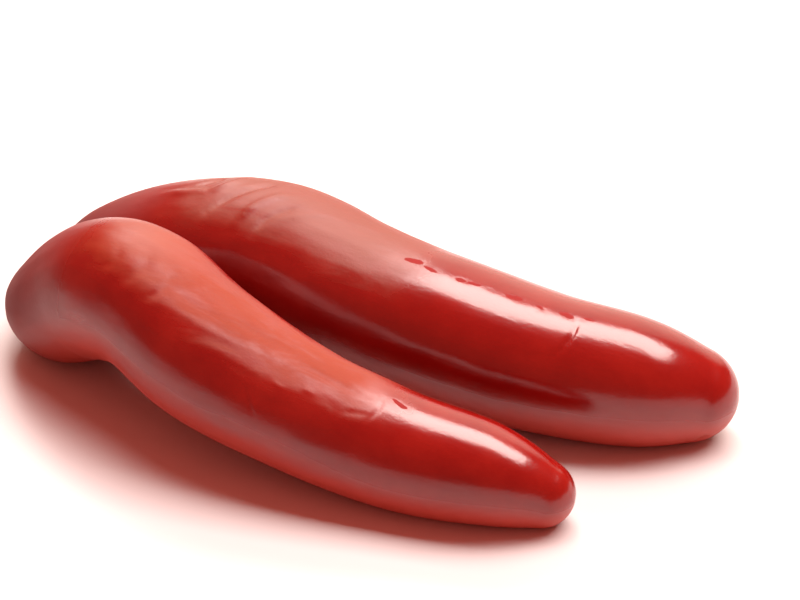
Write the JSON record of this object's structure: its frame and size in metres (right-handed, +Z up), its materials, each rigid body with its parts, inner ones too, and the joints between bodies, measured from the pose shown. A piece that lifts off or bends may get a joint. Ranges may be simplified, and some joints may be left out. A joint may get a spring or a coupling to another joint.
{
  "type": "string of sausage links",
  "caption": "String of plump smoked sausage links lying side by side, joined at one end by a twist of casing.",
  "frame": {"origin": "middle of the bounding box, at the table", "axes": "+X along the links towards their free tips, +Z up from the table, the fuller link on the +Y side"},
  "size_m": [0.167, 0.078, 0.0402],
  "materials": {
    "link_front": "moist glossy smoked casing, deep red",
    "link_back": "moist glossy smoked casing, deep red",
    "casing_twist": "twisted casing, darker and less glossy"
  },
  "bodies": {
    "root": {"link_front": "link_front", "link_back": "link_back", "casing_twist": "casing_twist"}
  },
  "joints": []
}
